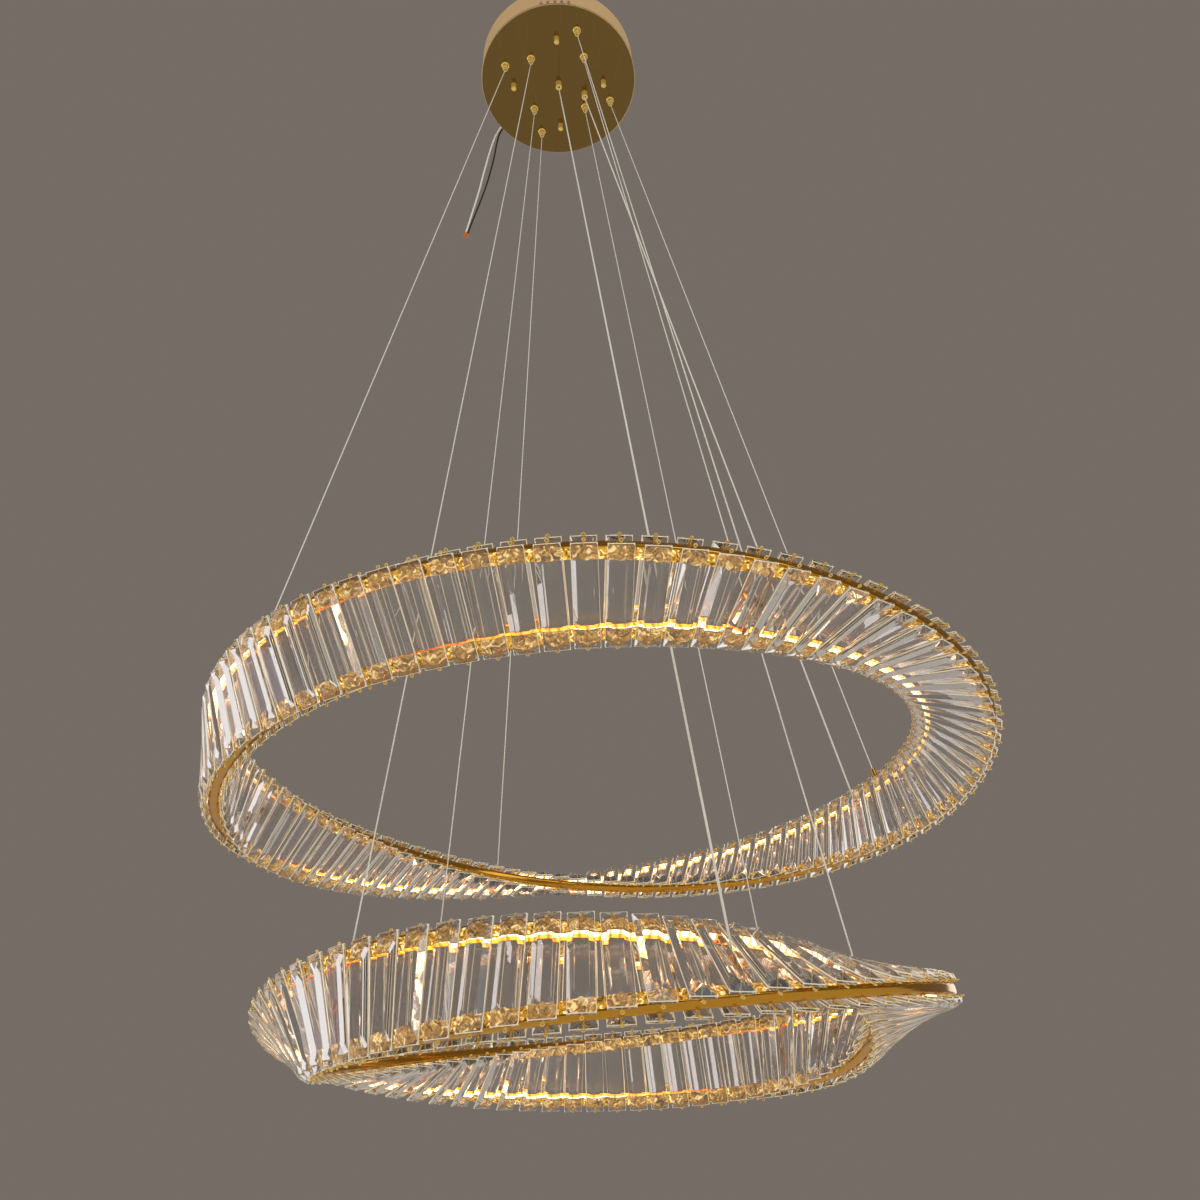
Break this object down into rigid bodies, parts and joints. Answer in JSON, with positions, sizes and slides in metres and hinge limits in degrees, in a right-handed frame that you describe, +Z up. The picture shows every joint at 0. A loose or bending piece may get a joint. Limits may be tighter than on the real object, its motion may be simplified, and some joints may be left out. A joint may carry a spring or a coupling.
{
  "type": "crystal chandelier",
  "caption": "Ceiling chandelier: a round mirror-gold canopy carries twisted bands of clear crystal bars between gold rails, hung on thin wires and lit from inside the rails.",
  "frame": {"origin": "on the ceiling face, at the middle of the canopy: the part hangs below it", "axes": "+Z up, -Y towards the viewer of the picture, +X to the viewer's right"},
  "size_m": [0.8591, 0.8924, 1.731],
  "materials": {
    "mirror_gold": "polished mirror, titanium gold plated",
    "rail_gold": "polished, titanium gold plated",
    "fitting_gold": "polished",
    "satin_champagne": "satin champagne",
    "zinc_steel": "zinc plated",
    "wire_steel": "stranded, bright",
    "crystal": "cut and polished",
    "light_strip": "glowing warm white",
    "white_plastic": "moulded",
    "feed_jacket": "clear over tinned copper",
    "grey_rubber": "moulded",
    "white_jacket": "extruded",
    "black_jacket": "extruded",
    "orange_cap": "moulded"
  },
  "bodies": {
    "canopy": {"ceiling_bracket": "zinc_steel", "bracket_studs": "zinc_steel", "bracket_nuts": "zinc_steel", "canopy_pan": "satin_champagne", "canopy_plate": "mirror_gold", "cap_nuts": "fitting_gold", "outer_grippers": "fitting_gold", "inner_grippers": "fitting_gold", "shank_nuts": "zinc_steel", "terminal_block": "white_plastic", "lead_grommet": "grey_rubber", "lead_white": "white_jacket", "lead_black": "black_jacket", "lead_tips": "orange_cap", "upper_gland": "fitting_gold", "lower_gland": "fitting_gold", "upper_driver": "white_plastic", "lower_driver": "white_plastic"},
    "upper_ring": {"upper_rail_a": "rail_gold", "upper_strip_a": "light_strip", "upper_rail_b": "rail_gold", "upper_strip_b": "light_strip", "upper_hangers": "rail_gold", "upper_bush": "rail_gold", "upper_pins_out": "rail_gold", "upper_pins_in": "rail_gold", "upper_crystals_out": "crystal", "upper_crystals_in": "crystal"},
    "upper_wire_1": {"upper_wire_1": "wire_steel"},
    "upper_wire_2": {"upper_wire_2": "wire_steel"},
    "upper_wire_3": {"upper_wire_3": "wire_steel"},
    "upper_wire_4": {"upper_wire_4": "wire_steel"},
    "upper_feed": {"upper_feed": "feed_jacket"},
    "lower_ring": {"lower_rail_a": "rail_gold", "lower_strip_a": "light_strip", "lower_rail_b": "rail_gold", "lower_strip_b": "light_strip", "lower_hangers": "rail_gold", "lower_bush": "rail_gold", "lower_pins_out": "rail_gold", "lower_pins_in": "rail_gold", "lower_crystals_out": "crystal", "lower_crystals_in": "crystal"},
    "lower_wire_1": {"lower_wire_1": "wire_steel"},
    "lower_wire_2": {"lower_wire_2": "wire_steel"},
    "lower_wire_3": {"lower_wire_3": "wire_steel"},
    "lower_wire_4": {"lower_wire_4": "wire_steel"},
    "lower_feed": {"lower_feed": "feed_jacket"},
    "outer_collar_1": {"outer_collar_1": "fitting_gold"},
    "outer_collar_2": {"outer_collar_2": "fitting_gold"},
    "outer_collar_3": {"outer_collar_3": "fitting_gold"},
    "outer_collar_4": {"outer_collar_4": "fitting_gold"},
    "inner_collar_1": {"inner_collar_1": "fitting_gold"},
    "inner_collar_2": {"inner_collar_2": "fitting_gold"},
    "inner_collar_3": {"inner_collar_3": "fitting_gold"},
    "inner_collar_4": {"inner_collar_4": "fitting_gold"}
  },
  "joints": [
    {"name": "upper_sway", "type": "hinge", "parent": "canopy", "child": "upper_ring", "pos_m": [0, 0, 0.39001], "axis": [1, 0, 0], "range_deg": [-1.8, 1.8]},
    {"name": "upper_wire_1_swing", "type": "hinge", "parent": "canopy", "child": "upper_wire_1", "pos_m": [0.09429, 0.03619, -0.0655], "axis": [1, 0, 0], "range_deg": [-2.46, 2.46]},
    {"name": "upper_wire_2_swing", "type": "hinge", "parent": "canopy", "child": "upper_wire_2", "pos_m": [-0.03619, 0.09429, -0.0655], "axis": [1, 0, 0], "range_deg": [-2.44, 2.44]},
    {"name": "upper_wire_3_swing", "type": "hinge", "parent": "canopy", "child": "upper_wire_3", "pos_m": [-0.09429, -0.03619, -0.0655], "axis": [1, 0, 0], "range_deg": [-2.44, 2.44]},
    {"name": "upper_wire_4_swing", "type": "hinge", "parent": "canopy", "child": "upper_wire_4", "pos_m": [0.03619, -0.09429, -0.0655], "axis": [1, 0, 0], "range_deg": [-2.44, 2.44]},
    {"name": "upper_feed_swing", "type": "hinge", "parent": "canopy", "child": "upper_feed", "pos_m": [0.047, 0.0205, -0.068], "axis": [1, 0, 0], "range_deg": [-2.44, 2.44]},
    {"name": "lower_sway", "type": "hinge", "parent": "canopy", "child": "lower_ring", "pos_m": [0, 0, 0.39904], "axis": [1, 0, 0], "range_deg": [-1.8, 1.8]},
    {"name": "lower_wire_1_swing", "type": "hinge", "parent": "canopy", "child": "lower_wire_1", "pos_m": [0.04738, 0.04738, -0.0655], "axis": [1, 0, 0], "range_deg": [-2.35, 2.35]},
    {"name": "lower_wire_2_swing", "type": "hinge", "parent": "canopy", "child": "lower_wire_2", "pos_m": [-0.04738, 0.04738, -0.0655], "axis": [1, 0, 0], "range_deg": [-2.35, 2.35]},
    {"name": "lower_wire_3_swing", "type": "hinge", "parent": "canopy", "child": "lower_wire_3", "pos_m": [-0.04738, -0.04738, -0.0655], "axis": [1, 0, 0], "range_deg": [-2.35, 2.35]},
    {"name": "lower_wire_4_swing", "type": "hinge", "parent": "canopy", "child": "lower_wire_4", "pos_m": [0.04738, -0.04738, -0.0655], "axis": [1, 0, 0], "range_deg": [-2.35, 2.35]},
    {"name": "lower_feed_swing", "type": "hinge", "parent": "canopy", "child": "lower_feed", "pos_m": [0, 0, -0.068], "axis": [1, 0, 0], "range_deg": [-2.35, 2.35]},
    {"name": "outer_release_1", "type": "slide", "parent": "canopy", "child": "outer_collar_1", "axis": [0, 0, 1], "range_m": [0, 0.002], "stiffness_N_per_m": 400, "springref_m": -0.001},
    {"name": "outer_release_2", "type": "slide", "parent": "canopy", "child": "outer_collar_2", "axis": [0, 0, 1], "range_m": [0, 0.002], "stiffness_N_per_m": 400, "springref_m": -0.001},
    {"name": "outer_release_3", "type": "slide", "parent": "canopy", "child": "outer_collar_3", "axis": [0, 0, 1], "range_m": [0, 0.002], "stiffness_N_per_m": 400, "springref_m": -0.001},
    {"name": "outer_release_4", "type": "slide", "parent": "canopy", "child": "outer_collar_4", "axis": [0, 0, 1], "range_m": [0, 0.002], "stiffness_N_per_m": 400, "springref_m": -0.001},
    {"name": "inner_release_1", "type": "slide", "parent": "canopy", "child": "inner_collar_1", "axis": [0, 0, 1], "range_m": [0, 0.002], "stiffness_N_per_m": 400, "springref_m": -0.001},
    {"name": "inner_release_2", "type": "slide", "parent": "canopy", "child": "inner_collar_2", "axis": [0, 0, 1], "range_m": [0, 0.002], "stiffness_N_per_m": 400, "springref_m": -0.001},
    {"name": "inner_release_3", "type": "slide", "parent": "canopy", "child": "inner_collar_3", "axis": [0, 0, 1], "range_m": [0, 0.002], "stiffness_N_per_m": 400, "springref_m": -0.001},
    {"name": "inner_release_4", "type": "slide", "parent": "canopy", "child": "inner_collar_4", "axis": [0, 0, 1], "range_m": [0, 0.002], "stiffness_N_per_m": 400, "springref_m": -0.001}
  ],
  "couplings": [
    {"joint": "upper_wire_1_swing", "follows": "upper_sway", "ratio": 1.3505},
    {"joint": "upper_wire_2_swing", "follows": "upper_sway", "ratio": 1.3378},
    {"joint": "upper_wire_3_swing", "follows": "upper_sway", "ratio": 1.3378},
    {"joint": "upper_wire_4_swing", "follows": "upper_sway", "ratio": 1.3378},
    {"joint": "upper_feed_swing", "follows": "upper_sway", "ratio": 1.3403},
    {"joint": "lower_wire_1_swing", "follows": "lower_sway", "ratio": 1.2875},
    {"joint": "lower_wire_2_swing", "follows": "lower_sway", "ratio": 1.2875},
    {"joint": "lower_wire_3_swing", "follows": "lower_sway", "ratio": 1.2875},
    {"joint": "lower_wire_4_swing", "follows": "lower_sway", "ratio": 1.2875},
    {"joint": "lower_feed_swing", "follows": "lower_sway", "ratio": 1.2895}
  ]
}
